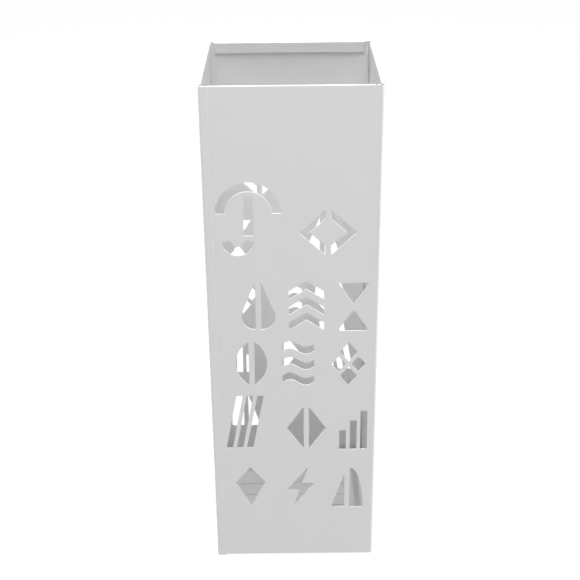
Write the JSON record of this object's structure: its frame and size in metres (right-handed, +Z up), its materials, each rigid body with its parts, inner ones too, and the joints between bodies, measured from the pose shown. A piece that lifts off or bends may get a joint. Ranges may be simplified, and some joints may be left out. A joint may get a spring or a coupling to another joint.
{
  "type": "umbrella stand",
  "caption": "Tall square umbrella stand folded from white sheet steel, with stencil cut-outs on the front and back, an open top and a lift-out drip tray.",
  "frame": {"origin": "on the floor, at the middle of the stand's square footprint", "axes": "+Z up the stand, +X to the right seen from the front, and the front face with the cut-outs faces -Y"},
  "size_m": [0.155, 0.155, 0.485],
  "materials": {
    "white_powder_coat": "satin white powder coat on sheet steel",
    "white_polypropylene": "moulded white polypropylene, fine matt texture",
    "grey_rubber": "matt grey rubber"
  },
  "bodies": {
    "stand": {"front_right_panel": "white_powder_coat", "back_left_panel": "white_powder_coat", "base_pan": "white_powder_coat", "foot_front_left": "grey_rubber", "foot_front_right": "grey_rubber", "foot_back_left": "grey_rubber", "foot_back_right": "grey_rubber"},
    "tray": {"drip_tray": "white_polypropylene"}
  },
  "joints": [
    {"name": "drip_tray_lift", "type": "slide", "parent": "stand", "child": "tray", "axis": [0, 0, 1], "range_m": [0, 0.482]}
  ]
}
